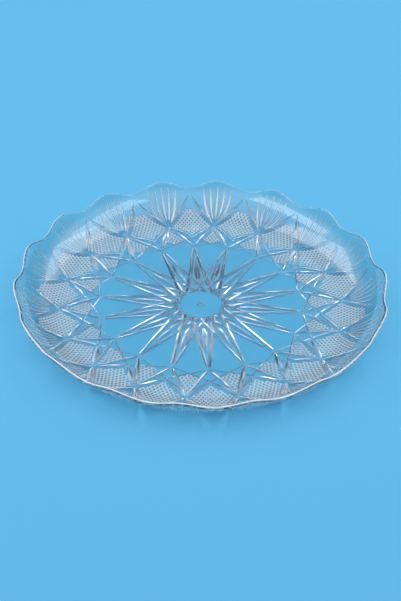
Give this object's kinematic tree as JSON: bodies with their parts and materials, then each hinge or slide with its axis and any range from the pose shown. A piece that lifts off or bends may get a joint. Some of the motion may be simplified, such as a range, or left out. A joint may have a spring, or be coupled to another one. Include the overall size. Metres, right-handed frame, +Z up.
{
  "type": "round serving platter",
  "caption": "Round clear plastic serving platter with a scalloped rim, curved wall and a cut-crystal star and leaf pattern moulded into its underside.",
  "frame": {"origin": "middle of the flat underside, at the height of the surface that the platter stands on", "axes": "+Z up out of the serving well, +X through the middle of a scallop, +Y through a dip between two scallops"},
  "size_m": [0.3496, 0.3458, 0.0312],
  "materials": {
    "clear_polystyrene": "clear gloss, as moulded"
  },
  "bodies": {
    "root": {"platter": "clear_polystyrene"}
  },
  "joints": []
}
